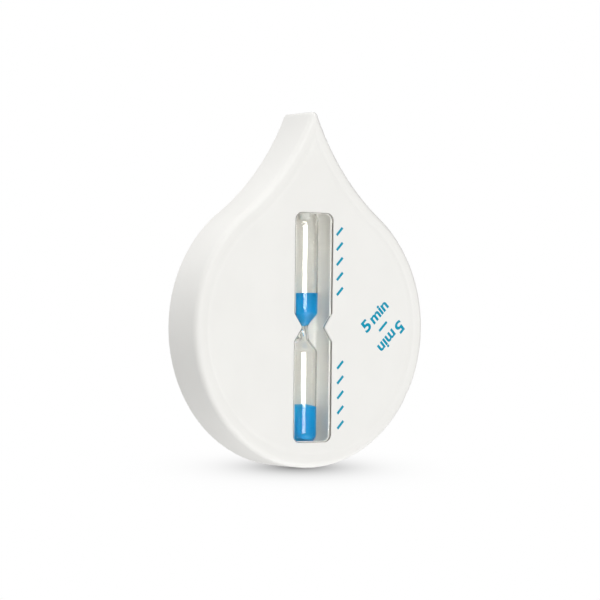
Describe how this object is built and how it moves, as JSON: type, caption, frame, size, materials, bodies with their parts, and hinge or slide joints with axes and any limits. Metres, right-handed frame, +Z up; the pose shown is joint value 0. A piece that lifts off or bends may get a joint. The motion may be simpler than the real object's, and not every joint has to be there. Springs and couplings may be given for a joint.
{
  "type": "shower sand timer",
  "caption": "Drop-shaped wall timer: a glass sand vial shows behind an hourglass window, and the case swivels half a turn on a suction cup to start it again.",
  "frame": {"origin": "centre of the suction cup's lip, on the wall plane, on the swivel axis", "axes": "+Y into the wall along the swivel axis, +Z up towards the drop's tip, +X to the right as the user faces the timer"},
  "size_m": [0.095, 0.0268, 0.1205],
  "materials": {
    "case_plastic": "moulded, soft satin gloss",
    "clear_plastic": "clear, polished",
    "vial_glass": "clear blown glass",
    "stopper_plastic": "matt",
    "blue_sand": "fine dyed grains",
    "blue_ink": "printed ink, satin",
    "pane_glue": "thin dried bead",
    "pad_foam": "fine closed-cell foam",
    "cup_vinyl": "clear soft vinyl",
    "screw_steel": "plain stainless"
  },
  "bodies": {
    "mount_cup": {"suction_cup": "cup_vinyl"},
    "timer": {"front_shell": "case_plastic", "window_pane": "clear_plastic", "vial_cradle": "case_plastic", "glass_vial": "vial_glass", "vial_stopper": "stopper_plastic", "sand_upper": "blue_sand", "sand_lower": "blue_sand", "end_pad_upper": "pad_foam", "end_pad_lower": "pad_foam", "rear_cover": "case_plastic", "case_screw_1": "screw_steel", "case_screw_2": "screw_steel", "case_screw_3": "screw_steel", "case_screw_4": "screw_steel", "cradle_screw_left": "screw_steel", "cradle_screw_right": "screw_steel"}
  },
  "joints": [
    {"name": "swivel", "type": "hinge", "parent": "mount_cup", "child": "timer", "pos_m": [0, -0.0134, 0], "axis": [0, 1, 0], "continuous": true}
  ]
}
